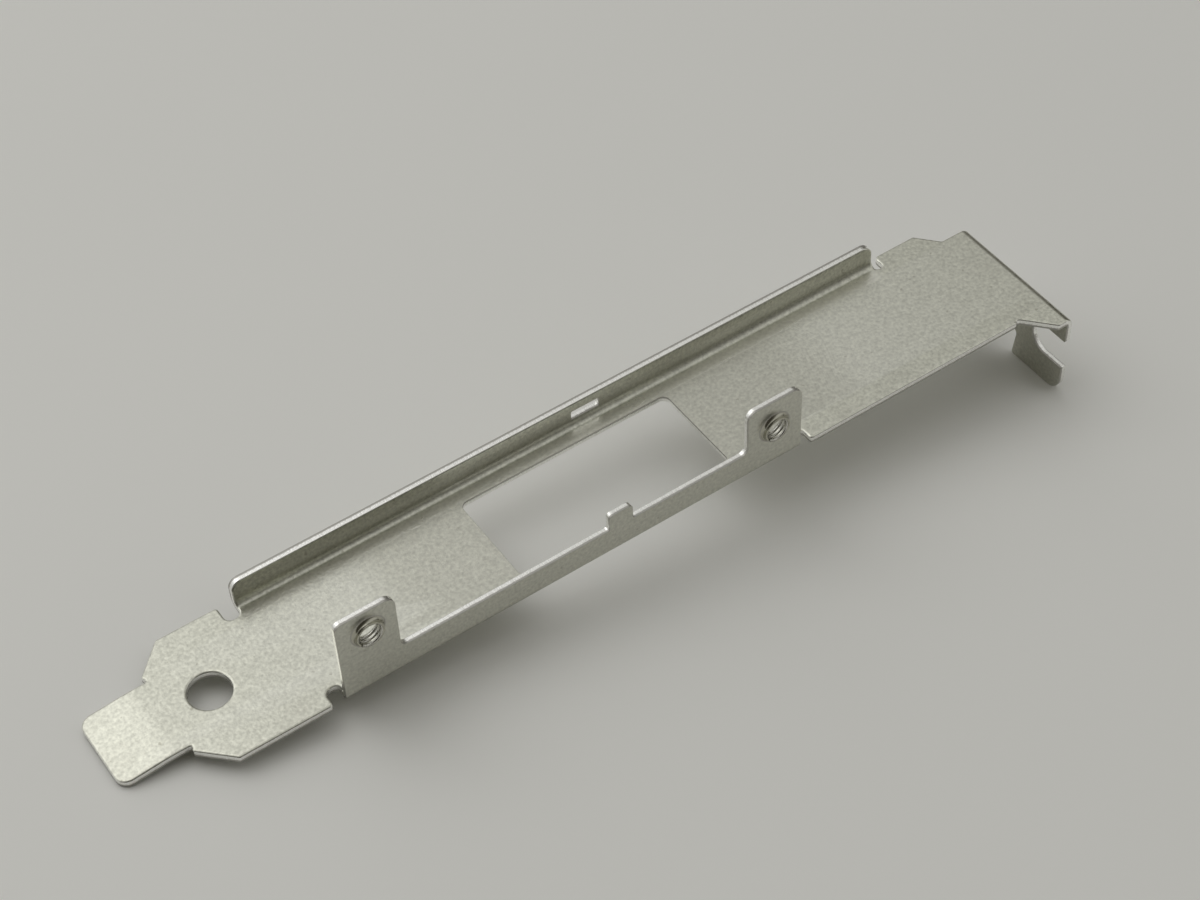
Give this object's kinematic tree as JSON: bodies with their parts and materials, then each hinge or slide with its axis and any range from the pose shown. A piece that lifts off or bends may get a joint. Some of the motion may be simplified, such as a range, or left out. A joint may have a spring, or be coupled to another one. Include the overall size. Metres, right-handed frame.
{
  "type": "slot cover bracket",
  "caption": "Folded sheet-steel bracket that holds an expansion card in a computer's rear slot: screw foot, guide tongue, tapped card tabs, connector opening and stiffening flange.",
  "frame": {"origin": "centre of the screw notch, on the foot's seating face", "axes": "+X runs along the plate from the tongue to the foot and out through the screw notch; +Y runs across the plate from the tab side to the long flange; +Z is the inner side, where the tabs and flange stand up"},
  "size_m": [0.121, 0.0216, 0.0239],
  "materials": {
    "plated_steel": "satin nickel plate, with bright sheared edges"
  },
  "bodies": {
    "root": {"bracket": "plated_steel"}
  },
  "joints": []
}
